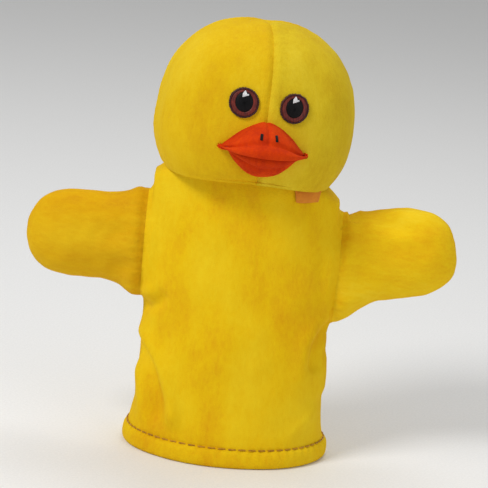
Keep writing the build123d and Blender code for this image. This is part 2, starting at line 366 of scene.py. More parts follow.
def arm_form(side):
    """A flat mitten of two panels, fuller in the middle than along its edge."""
    columns = 72
    around = np.linspace(0, 2 * math.pi, columns, endpoint=False)
    tip, root, blunt = 62.0, -20.0, 31.0
    half_height, half_depth = 26.2, 15.5
    stations = list(np.linspace(root, tip - blunt, 16))
    stations += list(tip - blunt + blunt * np.sin(np.linspace(0.08, 1, 18) * math.pi / 2))
    rings = []
    for along in stations:
        over = max((along - tip + blunt) / blunt, 0)
        height = half_height * (1 - over**2.5) ** (1 / 2.5) if over < 1 else 0.02
        depth = half_depth * (1 - over**2.2) ** (1 / 2.2) if over < 1 else 0.02
        flare = smoothstep(16, -14, along)
        web = np.where(np.sin(around) < 0, ARM_WEB[side], TOP_WEB[side]) * flare
        flat = np.abs(np.cos(around)) ** 0.22
        y = depth * np.cos(around) * flat
        z = height * np.sin(around) * (1 + web)
        rings.append(np.stack([np.full(columns, along), y, z], axis=1) * MM)
    rings = np.array(rings)
    angle = RAISE[side]
    x = rings[..., 0] * math.cos(angle) - rings[..., 2] * math.sin(angle)
    z = rings[..., 0] * math.sin(angle) + rings[..., 2] * math.cos(angle)
    rings = np.stack([SIGN[side] * x, rings[..., 1], z], axis=-1) + BEND[side]
    if SIGN[side] < 0:
        rings = rings[:, ::-1]
    return closed_rings(f"{side}_arm_form", rings)


FRONT_FOLDS = [  # points (x, z) of its line in mm, width, height, share that fades at each end
    # folds at the puppet's right, the viewer's left
    ([(-57, 72), (-46, 62), (-37, 49), (-31, 33), (-29, 12)], 4.2, 4.2, 0.2),
    ([(-60, 62), (-47, 50), (-41, 34), (-39, 12)], 5.0, -4.2, 0.2),
    ([(-54, 50), (-50, 34), (-47, 12)], 3.0, 2.4, 0.25),
    ([(-62, 80), (-54, 81), (-45, 87), (-40, 96)], 3.8, -4.0, 0.25),
    ([(-58, 91), (-51, 90), (-46, 96)], 4.5, 2.2, 0.25),
    # folds at the puppet's left
    ([(58, 82), (51, 77), (47, 69), (47, 52)], 3.8, -4.4, 0.2),
    ([(48, 88), (42, 74), (40, 58), (42, 44)], 5.5, 1.9, 0.25),
    ([(53, 66), (54, 50), (52, 36)], 5.0, 2.0, 0.25),
    ([(34, 12), (42, 23), (52, 34)], 3.2, 1.3, 0.25),
    ([(56, 96), (60, 108), (68, 118), (80, 124)], 5.5, -1.6, 0.25),
    ([(60, 93), (70, 101), (84, 106)], 4.5, 1.2, 0.25),
    ([(70, 148), (84, 143), (100, 141)], 4.0, -1.5, 0.25),
    ([(66, 141), (82, 135), (98, 134)], 4.5, 1.1, 0.25),
    ([(-60, 126), (-72, 124), (-86, 127)], 5.0, -1.2, 0.25),
    ([(-58, 108), (-66, 104), (-76, 105)], 4.5, -1.6, 0.25),
    ([(-60, 116), (-72, 114), (-84, 116)], 5.5, 0.9, 0.25),
]


def sculpt_sleeve(obj):
    """Seams, folds and slack in the cloth of the sleeve and arms."""
    co, no = coords(obj), normals(obj)
    x, y, z = co.T
    push = np.zeros(len(co))
    reach = np.abs(x)
    arm = smoothstep(ARM_SEAM_X, ARM_SEAM_X + 4 * MM, reach) * smoothstep(84 * MM, 92 * MM, z)
    # the armhole seams pull the cloth in and the arms puff beside them
    at_arm = smoothstep(80 * MM, 90 * MM, z)
    push -= 3.0 * MM * hill(reach - ARM_SEAM_X, 1.9 * MM) * at_arm
    push += 1.2 * MM * hill(reach - ARM_SEAM_X - 6 * MM, 4.0 * MM) * at_arm
    push += 0.6 * MM * hill(reach - ARM_SEAM_X + 5 * MM, 3.0 * MM) * at_arm
    pleat = np.sin(z / MM * 1.25 + 0.8 * np.sin(z / MM * 0.31))
    push += 0.5 * MM * pleat * hill(reach - ARM_SEAM_X - 3.5 * MM, 5 * MM) * at_arm
    # the edge seam of the arms and the side seams of the sleeve
    push -= 1.3 * MM * hill(y, 1.5 * MM) * smoothstep(46 * MM, 52 * MM, reach)
    for points, width, height, fade in FRONT_FOLDS:
        push += fold(co, points, width, height, fade=fade)
    # the back hangs in two soft folds
    for side in (1, -1):
        hang = [(side * 30, 120), (side * 36, 80), (side * 33, 40), (side * 36, 12)]
        push += fold(co, hang, 7.0, 2.0, False)
        push += fold(co, [(side * 46, 92), (side * 47, 60), (side * 44, 14)], 5.5, -2.2, False)
    push += fold(co, [(-4, 96), (2, 60), (-2, 14)], 9.0, -1.6, False)
    push *= smoothstep(HEM_TOP, HEM_TOP + 16 * MM, z)
    # slack, and the nap's own unevenness
    loose = smoothstep(165 * MM, 150 * MM, z) * smoothstep(HEM_TOP, HEM_TOP + 14 * MM, z)
    push += 1.5 * MM * lumps(co, 34 * MM, 1.0) * loose
    push += 0.55 * MM * lumps(co, 13 * MM, 2.0)
    push += 0.5 * MM * lumps(co, 7 * MM, 3.0) * arm
    # the shoulders stay round under the head
    push *= 1 - smoothstep(150 * MM, 158 * MM, z) * (reach < 52 * MM)
    co = co + no * push[:, None]
    set_coords(obj, co)


def cap_shoulders(obj):
    """Keeps the shoulders inside the ball that the head slides on."""
    co = coords(obj)
    out = co - NECK
    distance = np.linalg.norm(out, axis=1)
    inside = (np.abs(co[:, 0]) < 64 * MM) & (co[:, 2] > 142 * MM) & (distance > SHOULDER_R)
    co[inside] = NECK + out[inside] / distance[inside, None] * SHOULDER_R
    set_coords(obj, co)


def sleeve_and_arms():
    skin = join([sleeve_form(), arm_form("left"), arm_form("right")], "sleeve_skin")
    voxel_skin(skin, 1.9 * MM, 14)
    sculpt_sleeve(skin)
    smooth = skin.modifiers.new("relax", "SMOOTH")
    smooth.factor = 0.4
    smooth.iterations = 2
    apply_modifiers(skin)
    cap_shoulders(skin)
    source = {"co": coords(skin), "no": normals(skin)}
    pieces = {}
    hem_plane = ((0, 0, HEM_TOP - 1.5 * MM), (0, 0, -1))
    armpit = ((0, 0, ARMPIT_Z), (0, 0, 1))

    def neck_hole(fx, fy, fz):
        return math.hypot(fx - NECK[0], fy) < NECK_HOLE and fz > NECK[2]

    for face, sign in (("front", 1.0), ("back", -1.0)):
        seam = ((0, 0, 0), (0, sign, 0))
        creases = [((ARM_SEAM_X, 0, 0), (1, 0, 0)), ((-ARM_SEAM_X, 0, 0), (1, 0, 0)), armpit]
        body = sliced(skin, f"body_{face}_plush", [hem_plane, seam], creases)
        drop_faces(body, neck_hole)
        drop_faces(body, lambda fx, fy, fz: abs(fx) > ARM_SEAM_X and fz > ARMPIT_Z)
        pieces[body.name] = thicken(body, CLOTH)
        for side in ("left", "right"):
            s = SIGN[side]
            ring = [((s * ARM_SEAM_X, 0, 0), (-s, 0, 0)), ((s * RING_X, 0, 0), (s, 0, 0)), seam]
            root = sliced(skin, f"{side}_arm_root_{face}", ring, [armpit])
            drop_faces(root, lambda fx, fy, fz: fz < ARMPIT_Z)
            pieces[root.name] = thicken(root, CLOTH, source)
            tip = sliced(skin, f"{side}_arm_{face}_plush", [((s * RING_X, 0, 0), (-s, 0, 0)), seam])
            pieces[tip.name] = thicken(tip, CLOTH, source)
    bpy.data.objects.remove(skin)
    return pieces


def place_sleeve(pieces):
    for face in ("front", "back"):
        body = pieces[f"body_{face}_plush"]
        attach(body, "torso")
        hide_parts(f"body_{face}")
        for side in ("left", "right"):
            root = pieces[f"{side}_arm_root_{face}"]
            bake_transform(root)
            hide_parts(f"{side}_armhole_binding")
            arm = pieces[f"{side}_arm_{face}_plush"]
            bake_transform(arm)
            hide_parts(f"{side}_arm_{face}")
            for piece in (root, arm):
                # each arm takes its own tone: painted shade on the right arm, painted light on the left
                piece.data.materials.append(MATERIALS[f"{side}_arm"])
        body.data.materials.append(MATERIALS["body"])


# ------------------------------------------------------------------------ hem
def hem_outline(turn, proud, height):
    width, depth = level_size(height)
    wave = 0.5 * np.sin(3 * turn + 0.7) + 0.35 * np.sin(7 * turn + 2.0)
    out = proud + 0.7 * MM * wave * 0.6
    x, y = (width + out) * np.cos(turn), (depth + out) * np.sin(turn)
    return np.stack([x, y, np.full(turn.shape, height)], axis=1)


def hem():
    """The turned-up band: soft double cloth, rolled at its foot and pinched at its stitches."""
    columns = 260
    turn = np.linspace(0, 2 * math.pi, columns, endpoint=False)
    top = HEM_TOP
    profile = [  # proud of the sleeve, height, both in mm
        (-1.8, 11.0), (0.2, 11.1), (0.7, 10.5), (1.9, 9.8), (2.5, 8.0), (2.7, 5.6), (2.6, 3.2),
        (2.0, 1.3), (0.9, 0.25), (-0.4, 0.0), (-1.7, 0.5), (-2.4, 1.8), (-2.6, 5.0), (-2.4, 9.0),
    ]
    rings = []
    for proud, height in profile:
        rings.append(hem_outline(turn, proud * MM, height / 11.0 * top))
    rings.append(rings[0])
    rings = np.array(rings[:-1])
    rows = len(rings)
    faces = []
    for r in range(rows):
        for c in range(columns):
            n, up = (c + 1) % columns, (r + 1) % rows
            faces.append((r * columns + c, up * columns + c, up * columns + n, r * columns + n))
    band = new_object("hem_band_plush", rings.reshape(-1, 3), faces)
    detail = band.modifiers.new("round", "SUBSURF")
    detail.levels = 1
    apply_modifiers(band)
    co, no = coords(band), normals(band)
    turn_here = np.arctan2(co[:, 1] / 40, co[:, 0] / 57)
    pucker = 0.22 * MM * np.sin(turn_here * 60) * smoothstep(5 * MM, 10 * MM, co[:, 2])
    swell = 0.5 * MM * lumps(co, 16 * MM, 5.0) * smoothstep(0, 4 * MM, co[:, 2])
    co = co + no * (pucker + swell)[:, None]
    co[:, 2] = np.maximum(co[:, 2], 0)
    set_coords(band, co)
    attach(band, "torso")
    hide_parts("hem_band")
    band.data.materials.append(MATERIALS["body"])


def capsule(start, end, radius, segments=8):
    """A short thread with round ends: its rings of points, and its faces."""
    start, end = np.array(start), np.array(end)
    axis = (end - start) / np.linalg.norm(end - start)
    side = np.cross(axis, (0.31, 0.52, 0.79))
    side /= np.linalg.norm(side)
    other = np.cross(axis, side)
    rings = []
    for turn in (-80, -45, -10, 10, 45, 80):
        centre = start if turn < 0 else end
        lift = axis * math.sin(math.radians(turn)) * radius
        wide = math.cos(math.radians(turn)) * radius
        for k in range(segments):
            a = 2 * math.pi * k / segments
            rings.append(centre + lift + wide * (side * math.cos(a) + other * math.sin(a)))
    faces = rings_to_faces(6, segments)
    faces.append(tuple(range(segments))[::-1])
    faces.append(tuple(range(5 * segments, 6 * segments)))
    return rings, faces


def threads(name, spans, radius):
    """Many short threads as one piece."""
    verts, faces = [], []
    for start, end in spans:
        points, quads = capsule(start, end, radius)
        faces += [tuple(i + len(verts) for i in quad) for quad in quads]
        verts += points
    return new_object(name, verts, faces)


def hem_seam():
    """The row of stitches that holds the hem, sunk in its groove."""
    count = 62
    spans = []
    for i in range(count):
        turns = np.array([i + 0.12, i + 0.72]) / count * 2 * math.pi
        ends = hem_outline(turns, 0.75 * MM, HEM_TOP + 0.2 * MM)
        spans.append((ends[0], ends[1]))
    seam = threads("hem_stitch_line", spans, 0.42 * MM)
    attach(seam, "torso")
    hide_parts("hem_stitches")
    seam.data.materials.append(MATERIALS["thread"])


# ----------------------------------------------------------------------- head
def to_world(points):
    """Points in the head's own upright frame, with z above the neck pivot, placed in the puppet's."""
    return NECK + np.asarray(points) @ HEAD_AXES.T


def head_radius(direction):
    """How far the head's surface is from its middle along unit directions."""
    share = np.abs(direction) / HEAD_HALF
    return (share**HEAD_POWER).sum(axis=-1) ** (-1 / HEAD_POWER)


def head_surface(x, z):
    """The y of the front of the head at local (x, z), z above the neck pivot."""
    share = (np.abs(x) / HEAD_HALF[0]) ** HEAD_POWER + (np.abs(z - HEAD_MID) / HEAD_HALF[2]) ** HEAD_POWER
    return -HEAD_HALF[1] * np.maximum(1 - share, 0) ** (1 / HEAD_POWER)


def head_form():
    """The whole stuffed head in its own frame, as a fine grid on six sides."""
    bm = bmesh.new()
    bmesh.ops.create_cube(bm, size=2.0)
    bmesh.ops.subdivide_edges(bm, edges=bm.edges[:], cuts=63, use_grid_fill=True)
    mesh = bpy.data.meshes.new("head_form")
    bm.to_mesh(mesh)
    bm.free()
    obj = bpy.data.objects.new("head_form", mesh)
    bpy.context.scene.collection.objects.link(obj)
    co = np.tan(coords(obj) * math.pi / 4)
    direction = co / np.linalg.norm(co, axis=1, keepdims=True)
    co = direction * head_radius(direction)[:, None]
    co[:, 2] += HEAD_MID
    rise = (co[:, 2] - HEAD_MID) / HEAD_HALF[2]
    cheeks = 1 + 0.015 * hill(rise + 0.25, 0.3) - 0.02 * hill(rise - 0.75, 0.3)
    co[:, 0] *= cheeks
    distance = np.linalg.norm(co, axis=1)
    seated = distance < SEAT_R
    co[seated] *= (SEAT_R / distance[seated])[:, None]
    set_coords(obj, co)
    mesh.polygons.foreach_set("use_smooth", [True] * len(mesh.polygons))
    return obj


def sculpt_head(obj):
    co = coords(obj)
    rim = hill(np.linalg.norm(co, axis=1) - SEAT_R, 3.5 * MM)
    co = relax(obj, co, 0.6, 10, rim)
    set_coords(obj, co)
    no = normals(obj)
    x, y, z = co.T
    above_seat = smoothstep(0.4 * MM, 3 * MM, np.linalg.norm(co, axis=1) - SEAT_R)
    front = y < PANEL_SEAM_Y
    push = np.zeros(len(co))
    wander = 0.35 * MM * np.sin(z / MM * 0.21)
    push -= 1.0 * MM * hill(x - wander, 1.15 * MM) * front
    push += 0.35 * MM * hill(np.abs(x - wander) - 3.6 * MM, 2.4 * MM) * front
    push -= 1.3 * MM * hill(y - PANEL_SEAM_Y, 1.3 * MM)
    push += 0.45 * MM * hill(np.abs(y - PANEL_SEAM_Y) - 4.0 * MM, 2.8 * MM)
    pull = np.sin(z / MM * 1.9) * hill(x, 5 * MM) * front
    pull = pull + np.sin((z + x) / MM * 1.6) * hill(y - PANEL_SEAM_Y, 6 * MM)
    push += 0.14 * MM * pull
    # filling: a soft brow, cheeks beside the beak, and a dimple under it
    push += 1.0 * MM * hill(np.hypot(x - 33 * MM, z - HEAD_MID + 14 * MM), 16 * MM) * (y < 0)
    push += 1.0 * MM * hill(np.hypot(x + 33 * MM, z - HEAD_MID + 14 * MM), 16 * MM) * (y < 0)
    push += 0.8 * MM * lumps(co, 30 * MM, 6.0)
    push += 0.25 * MM * lumps(co, 9 * MM, 7.0)
    for side in (1, -1):
        eye = np.hypot(x - side * EYE_X, z - EYE_Z)
        push -= 0.7 * MM * hill(eye, 10 * MM) * (y < 0)
    co = co + no * (push * above_seat)[:, None]
    # the top is pinched where the three panels meet
    crown = hill(np.hypot(x, y - PANEL_SEAM_Y), 7 * MM) * (z > HEAD_MID)
    co[:, 2] -= 1.6 * MM * crown
    set_coords(obj, co)


def head_pieces():
    form = head_form()
    sculpt_head(form)
    lid = math.sqrt(SEAT_R**2 - NECK_HOLE**2)

    def neck_hole(fx, fy, fz):
        return math.hypot(fx, fy) < NECK_HOLE + 2 * MM and fz < lid + 6 * MM

    drop_faces(form, neck_hole)
    seam = (0, PANEL_SEAM_Y, 0)
    cuts = {
        "head_front_left_plush": [(seam, (0, 1, 0)), ((0, 0, 0), (-1, 0, 0))],
        "head_front_right_plush": [(seam, (0, 1, 0)), ((0, 0, 0), (1, 0, 0))],
        "head_back_plush": [(seam, (0, -1, 0))],
    }
    for name, planes in cuts.items():
        panel = sliced(form, name, planes)
        thicken(panel, CLOTH)
        set_coords(panel, to_world(coords(panel)))
        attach(panel, "head")
        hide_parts(name.replace("_plush", ""))
        # the two front panels carry painted shade and painted light in their tones
        panel.data.materials.append(MATERIALS[name.replace("_plush", "")])
    bpy.data.objects.remove(form)


# ----------------------------------------------------------------------- beak
def beak_skin(name, half, long, high, sign, rows, columns, lip, arch):
    """Half a beak in the head's frame: from its lip (row 0) up or down to where it meets the face."""
    turn = np.linspace(-math.pi / 2, math.pi / 2, columns)
    verts = []
    for r in range(rows):
        s = r / (rows - 1)
        x0 = half * np.sin(turn)
        y0 = BEAK_Y + 3 * MM - (long + 3 * MM) * np.abs(np.cos(turn)) ** 0.9
        x1 = half * 0.985 * np.sin(turn)
        z1 = MOUTH_Z + sign * high * (1 - np.abs(np.sin(turn)) ** arch)
        y1 = head_surface(x1, z1) + 1.6 * MM
        ease_y = 1 - math.cos(s * math.pi / 2)
        ease_z = math.sin(s * math.pi / 2) ** 0.92
        x = x0 + (x1 - x0) * s
        y = y0 + (y1 - y0) * ease_y
        z = MOUTH_Z + (z1 - MOUTH_Z) * ease_z
        verts.append(np.stack([x, np.minimum(y, y1), z], axis=1))
    verts = np.array(verts)
    faces = rings_to_faces(rows, columns, closed_columns=False)
    if sign < 0:
        faces = [f[::-1] for f in faces]
    skin = new_object(name, verts.reshape(-1, 3), faces)
    co, no = coords(skin), normals(skin)
    s = np.repeat(np.linspace(0, 1, rows), columns)
    t = np.tile(np.linspace(-1, 1, columns), rows)
    ends = smoothstep(0, 0.1, 1 - np.abs(t))
    push = lip * (0.9 * hill(s - 0.10, 0.11) - 0.7 * hill(s - 0.31, 0.065)) * ends
    if sign > 0:
        push -= 0.6 * MM * hill(co[:, 0], 0.8 * MM) * smoothstep(0.22, 0.36, s)
        push += 0.3 * MM * hill(np.abs(co[:, 0]) - 3 * MM, 2 * MM) * smoothstep(0.22, 0.36, s)
    push += 0.3 * MM * lumps(co, 8 * MM, 8.0 + sign) * ends
    set_coords(skin, co + no * push[:, None])
    return skin


def lining_plate(name, half, long, z):
    """A flat layer of the mouth with a rounded front edge, and its rear edge at the hinge."""
    turn = np.linspace(-math.pi / 2, math.pi / 2, 61)
    x = half * np.sin(turn)
    y = BEAK_Y + 3 * MM - (long + 3 * MM) * np.abs(np.cos(turn)) ** 0.9
    y = np.minimum(y, HINGE_Y)
    verts = []
    for share in PLATE_SHARES:
        height = np.full(x.shape, z - PLATE_SAG * (1 - share))
        verts.append(np.stack([x * share, HINGE_Y + (y - HINGE_Y) * share, height], axis=1))
    rows = len(PLATE_SHARES)
    faces = rings_to_faces(rows, len(turn), closed_columns=False)
    plate = new_object(name, np.array(verts).reshape(-1, 3), faces)
    bm = bmesh.new()
    bm.from_mesh(plate.data)
    bm.verts.ensure_lookup_table()
    bm.faces.new([bm.verts[(rows - 1) * len(turn) + i] for i in range(len(turn))])
    bmesh.ops.recalc_face_normals(bm, faces=bm.faces[:])
    bm.to_mesh(plate.data)
    bm.free()
    return thicken(plate, PLATE_THICKNESS)


def finish_piece(piece, body, nodes, material):
    set_coords(piece, to_world(coords(piece)))
    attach(piece, body)
    if nodes:
        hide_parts(*nodes)
    piece.data.materials.append(material)
    return piece


def padding(name, skin, body, node):
    """Loose filling well inside a half of the beak."""
    pad = sliced(skin, name, [])
    co = coords(pad)
    middle = np.array([0, BEAK_Y, MOUTH_Z])
    co = middle + (co - middle) * (0.76, 0.80, 0.72)
    co[:, 1] = np.maximum(co[:, 1], BEAK_Y - 17 * MM)
    set_coords(pad, co)
    thicken(pad, 1.2 * MM)
    finish_piece(pad, body, [node], MATERIALS["filling"])


def nostrils(skin):
    """Two short dark satin stitches on the beak, one each side of its seam."""
    spans = []
    for side in (1, -1):
        for strand in (-1, 0, 1):
            ends = []
            for x, z in ((3.9, 11.6), (4.2, 9.3)):
                place = Vector((side * x * MM + strand * 0.35 * MM, -1.0, MOUTH_Z + z * MM))
                _, point, normal, _ = skin.ray_cast(place, (0, 1, 0))
                ends.append(point + normal * 0.25 * MM)
            spans.append(ends)
    piece = threads("nostril_stitch_threads", spans, 0.42 * MM)
    finish_piece(piece, "head", ["nostril_stitches"], MATERIALS["nostril"])


def beak():
    upper = beak_skin("upper_form", BEAK_HALF, BEAK_LONG, BEAK_HIGH, 1, 34, 97, 2.0 * MM, 1.7)
    nostrils(upper)
    for name, side in (("left", 1), ("right", -1)):
        half = sliced(upper, f"upper_beak_{name}_plush", [((0, 0, 0), (-side, 0, 0))])
        thicken(half, BEAK_CLOTH)
        finish_piece(half, "head", [f"upper_beak_{name}"], MATERIALS["beak"])
    padding("upper_beak_fibre", upper, "head", "upper_beak_padding")
    bpy.data.objects.remove(upper)
    lower = beak_skin("lower_beak_plush", JAW_HALF, JAW_LONG, JAW_DEEP, -1, 30, 84, 1.5 * MM, 2.2)
    padding("lower_beak_fibre", lower, "jaw", "lower_beak_padding")
    thicken(lower, BEAK_CLOTH)
    set_coords(lower, to_world(coords(lower)))
    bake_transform(lower)
    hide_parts("lower_beak")
    lower.data.materials.append(MATERIALS["beak"])
    mouth_plates()


def mouth_plates():
    """The lining and the board of each half of the mouth."""
    for name, body, node, layer, (narrower, shorter), level in MOUTH_PLATES:
        half, long = (BEAK_HALF, BEAK_LONG) if body == "head" else (JAW_HALF, JAW_LONG)
        plate = lining_plate(name, half - narrower * MM, long - shorter * MM, MOUTH_Z + level * MM)
        finish_piece(plate, body, [node], MATERIALS[layer])


# ----------------------------------------------------------------------- eyes
def stitched_patch(name, x, z, outline, lift, dome, angle_count, ring_count, ridge, jag, hole=None):
    """A patch of satin stitch on the face.  outline(a) gives its reach each way round (x, z)."""
    verts, faces = [], []
    angles = np.linspace(0, 2 * math.pi, angle_count, endpoint=False)
    jitter = rng.uniform(-1, 1, angle_count)
    for r in range(ring_count):
        share = r / (ring_count - 1)
        inner = hole(angles) if hole is not None else np.zeros(angle_count)
        reach = inner + (outline(angles) - inner) * share
        if r == ring_count - 1:
            reach = reach + jag * jitter
        px, pz = x + reach * np.cos(angles), z + reach * np.sin(angles)
        fall = share**6 if hole is None else (2 * share - 1) ** 4
        edge = math.sqrt(max(1 - fall, 0))
        tall = lift * (0.25 + 0.75 * edge) + dome * (1 - share**2)
        tall = tall + ridge * (np.arange(angle_count) % 2) * edge
        py = head_surface(px, pz) - tall
        verts.append(np.stack([px, py, pz], axis=1))
    verts = np.array(verts)
    faces = rings_to_faces(ring_count, angle_count)
    flat = list(verts.reshape(-1, 3))
    base = len(flat)
    under = verts[::-1].copy()
    under[..., 1] = head_surface(under[..., 0], under[..., 2]) + 0.5 * MM
    flat += list(under.reshape(-1, 3))
    faces += [tuple(i + base for i in f) for f in rings_to_faces(ring_count, angle_count)]
    total = ring_count * angle_count
    for c in range(angle_count):
        n = (c + 1) % angle_count
        top, bottom = (ring_count - 1) * angle_count, base
        faces.append((top + c, top + n, bottom + n, bottom + c))
        if hole is not None:
            top, bottom = 0, base + (ring_count - 1) * angle_count
            faces.append((bottom + c, bottom + n, top + n, top + c))
    if hole is None:
        faces.append(tuple(range(angle_count))[::-1])
        faces.append(tuple(range(total + total - angle_count, total + total)))
    piece = new_object(name, flat, faces)
    bm = bmesh.new()
    bm.from_mesh(piece.data)
    bmesh.ops.remove_doubles(bm, verts=bm.verts[:], dist=1e-6)
    bmesh.ops.recalc_face_normals(bm, faces=bm.faces[:])
    bm.to_mesh(piece.data)
    bm.free()
    return piece


def oval(half_x, half_z, shift_x=0.0, shift_z=0.0):
    """Distance from the eye's middle to an oval that may stand off it."""
    def reach(angles):
        dx, dz = np.cos(angles), np.sin(angles)
        a = (dx / half_x) ** 2 + (dz / half_z) ** 2
        b = -2 * (dx * shift_x / half_x**2 + dz * shift_z / half_z**2)
        c = (shift_x / half_x) ** 2 + (shift_z / half_z) ** 2 - 1
        return (-b + np.sqrt(b * b - 4 * a * c)) / (2 * a)
    return reach


def eyes():
    rim, ring = oval(8.1 * MM, 8.1 * MM), oval(7.35 * MM, 7.35 * MM)
    rim_hole, ring_hole = oval(7.1 * MM, 7.1 * MM), oval(4.7 * MM, 5.3 * MM, 0, 0.5 * MM)
    pupil = oval(5.15 * MM, 5.8 * MM, 0, 0.5 * MM)
    for side in ("left", "right"):
        x = SIGN[side] * EYE_X
        parts = {
            "outline": (rim, 1.05 * MM, 0.0, 132, 7, 0.16 * MM, 0.32 * MM, rim_hole),
            "iris": (ring, 0.75 * MM, 0.15 * MM, 150, 9, 0.12 * MM, 0.1 * MM, ring_hole),
            "pupil": (pupil, 0.8 * MM, 0.45 * MM, 110, 9, 0.06 * MM, 0.12 * MM, None),
        }
        for part, (outline, lift, dome, count, rings, ridge, jag, hole) in parts.items():
            name = f"{side}_eye_{part}_thread"
            patch = stitched_patch(name, x, EYE_Z, outline, lift, dome, count, rings, ridge, jag, hole)
            finish_piece(patch, "head", [f"{side}_eye_{part}"], MATERIALS[part])
        glint(side, x)


def glint(side, x):
    """A small triangle of pale satin stitch at the top of the pupil."""
    spans = []
    count = 9
    for i in range(count):
        share = i / (count - 1)
        px = x + (-1.2 + 2.9 * share) * MM
        top = EYE_Z + (6.7 - 4.4 * abs(share - 0.34)) * MM
        bottom = EYE_Z + (3.3 + 1.2 * share) * MM
        ends = []
        for pz in (bottom, max(top, bottom + 0.4 * MM)):
            ends.append((px, float(head_surface(np.array(px), np.array(pz))) - 1.3 * MM, pz))
        spans.append(ends)
    piece = threads(f"{side}_eye_glint_thread", spans, 0.24 * MM)
    finish_piece(piece, "head", [f"{side}_eye_glint"], MATERIALS["glint"])


def neck_tab():
    """The folded tab that shows under the head, drawn as a plain weave; its orange, deeper than the
    yellow plush, is painted shade under the head.
    """
    low, high = (np.array(corner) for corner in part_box("neck_tab"))
    columns, rows = 14, 7
    verts = []
    for r in range(rows):
        v = r / (rows - 1)
        for c in range(columns):
            u = c / (columns - 1)
            taper = 1 - 0.16 * (1 - v)
            x = (low[0] + high[0]) / 2 + (u - 0.5) * (high[0] - low[0]) * taper
            z = low[2] + (high[2] - low[2] + 1.5 * MM) * v - 0.3 * MM * math.sin(u * 5)
            width, depth = level_size(z)
            proud = 1.4 * MM + 0.5 * MM * math.sin(v * math.pi)
            y = -depth * math.sqrt(max(1 - (x / width) ** 2, 0.02)) - proud
            verts.append((x, y, z))
    tab = new_object("neck_tab_tape", verts, rings_to_faces(rows, columns, closed_columns=False))
    thicken(tab, 1.3 * MM)
    soft = tab.modifiers.new("soft", "SUBSURF")
    soft.levels = 1
    apply_modifiers(tab)
    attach(tab, "torso")
    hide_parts("neck_tab")
    # the tab's orange colour is painted shade from the head above it
    tab.data.materials.append(MATERIALS["tape"])


# ------------------------------------------------------------------ materials
def srgb(red, green, blue):
    """A display colour, 0 to 255, as the linear colour that a shader takes."""
    share = np.array([red, green, blue]) / 255
    linear = np.where(share <= 0.04045, share / 12.92, ((share + 0.055) / 1.055) ** 2.4)
    return (*(float(v) for v in linear), 1.0)


def start_material(name):
    material = bpy.data.materials.new(name)
    material.use_nodes = True
    tree = material.node_tree
    shader = tree.nodes["Principled BSDF"]
    where = tree.nodes.new("ShaderNodeTexCoord").outputs["Object"]
    return material, tree, shader, where


def noise_of(tree, where, scale, detail=3.0, roughness=0.55, stretch=(1, 1, 1), distortion=0.0):
    mapping = tree.nodes.new("ShaderNodeMapping")
    mapping.inputs["Scale"].default_value = stretch
    tree.links.new(where, mapping.inputs["Vector"])
    texture = tree.nodes.new("ShaderNodeTexNoise")
    texture.inputs["Scale"].default_value = scale
    texture.inputs["Detail"].default_value = detail
    texture.inputs["Roughness"].default_value = roughness
    texture.inputs["Distortion"].default_value = distortion
    tree.links.new(mapping.outputs["Vector"], texture.inputs["Vector"])
    return texture.outputs["Fac"]


def ramp(tree, fac, stops):
    """A colour ramp through (position, colour) stops."""
    node = tree.nodes.new("ShaderNodeValToRGB")
    elements = node.color_ramp.elements
    elements[0].position, elements[0].color = stops[0]
    elements[1].position, elements[1].color = stops[-1]
    for position, colour in stops[1:-1]:
        elements.new(position).color = colour
    tree.links.new(fac, node.inputs["Fac"])
    return node.outputs["Color"]


def blend_sum(tree, parts):
    """The weighted sum of several values."""
    total = None
    for value, weight in parts:
        node = tree.nodes.new("ShaderNodeMath")
        node.operation = "MULTIPLY_ADD"
        node.inputs[1].default_value = weight
        tree.links.new(value, node.inputs[0])
        if total is None:
            node.inputs[2].default_value = 0.0
        else:
            tree.links.new(total, node.inputs[2])
        total = node.outputs[0]
    return total


def bump(tree, shader, height, distance, strength=1.0, under=None):
    node = tree.nodes.new("ShaderNodeBump")
    node.inputs["Strength"].default_value = strength
    node.inputs["Distance"].default_value = distance
    tree.links.new(height, node.inputs["Height"])
    if under is not None:
        tree.links.new(under, node.inputs["Normal"])
    tree.links.new(node.outputs["Normal"], shader.inputs["Normal"])
    return node.outputs["Normal"]


def plush(name, deep, middle, pale, sheen=0.25, grain=1500.0, patches=34.0, nap=(1, 1, 0.5)):
    """Short clipped pile: brushed patches, wandering streaks and a fine grain of fibre ends."""
    material, tree, shader, where = start_material(name)
    broad = noise_of(tree, where, patches, 1.5, 0.45, nap, 0.4)
    brushed = noise_of(tree, where, patches * 4.5, 3.0, 0.6, nap, 0.3)
    fine = noise_of(tree, where, grain, 2.0, 0.6)
    tufts = noise_of(tree, where, grain * 0.32, 2.0, 0.6, nap)
    tone = blend_sum(tree, [(broad, 0.5), (brushed, 0.2), (tufts, 0.17), (fine, 0.13)])
    colour = ramp(tree, tone, [(0.34, deep), (0.5, middle), (0.66, pale)])
    tree.links.new(colour, shader.inputs["Base Color"])
    roughness = ramp(tree, brushed, [(0.3, (0.78, 0.78, 0.78, 1)), (0.7, (0.95, 0.95, 0.95, 1))])
    tree.links.new(roughness, shader.inputs["Roughness"])
    shader.inputs["Sheen Weight"].default_value = sheen
    shader.inputs["Sheen Roughness"].default_value = 0.45
    shader.inputs["Sheen Tint"].default_value = pale
    shader.inputs["Specular IOR Level"].default_value = 0.12
    soft = bump(tree, shader, blend_sum(tree, [(brushed, 0.6), (tufts, 0.4)]), 0.8 * MM, 0.5)
    bump(tree, shader, fine, 0.35 * MM, 0.55, soft)
    return material


